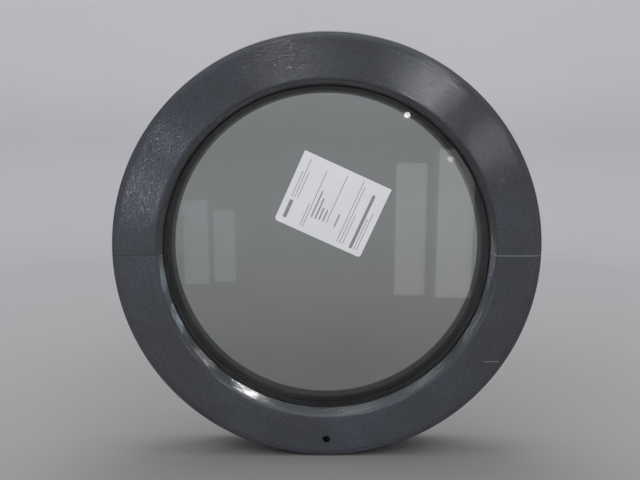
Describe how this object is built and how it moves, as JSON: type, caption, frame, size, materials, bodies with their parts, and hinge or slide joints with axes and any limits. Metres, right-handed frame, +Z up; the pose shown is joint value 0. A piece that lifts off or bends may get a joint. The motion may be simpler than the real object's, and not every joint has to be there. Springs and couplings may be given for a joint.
{
  "type": "round fixed window",
  "caption": "Round fixed window: grained dark grey hollow-profile ring frame with sloped glazing lip, sealed double glazing, clip-in bead, gaskets and drain hole.",
  "frame": {"origin": "centre of the ring, half way through its depth", "axes": "+Y along the window's axis from the exterior face to the interior face, +X right and +Z up as seen from outside, drain hole at the bottom (-Z)"},
  "size_m": [0.6, 0.07, 0.5998],
  "materials": {
    "frame": "fine grained foil, satin",
    "bead": "fine grained foil, satin",
    "gasket": "smooth black extruded rubber",
    "glass": "clear float glass",
    "spacer": "matt black foam strip with black sealant behind it",
    "block": "plain moulded pads",
    "label": "white coated paper"
  },
  "bodies": {
    "root": {"frame_upper_half": "frame", "frame_lower_half": "frame", "glazing_bead_upper": "bead", "glazing_bead_lower": "bead", "front_gasket": "gasket", "rear_gasket": "gasket", "outer_pane": "glass", "inner_pane": "glass", "spacer_ring": "spacer", "setting_block_left": "block", "setting_block_right": "block", "location_block_left": "block", "location_block_right": "block", "glass_label": "label"}
  },
  "joints": []
}
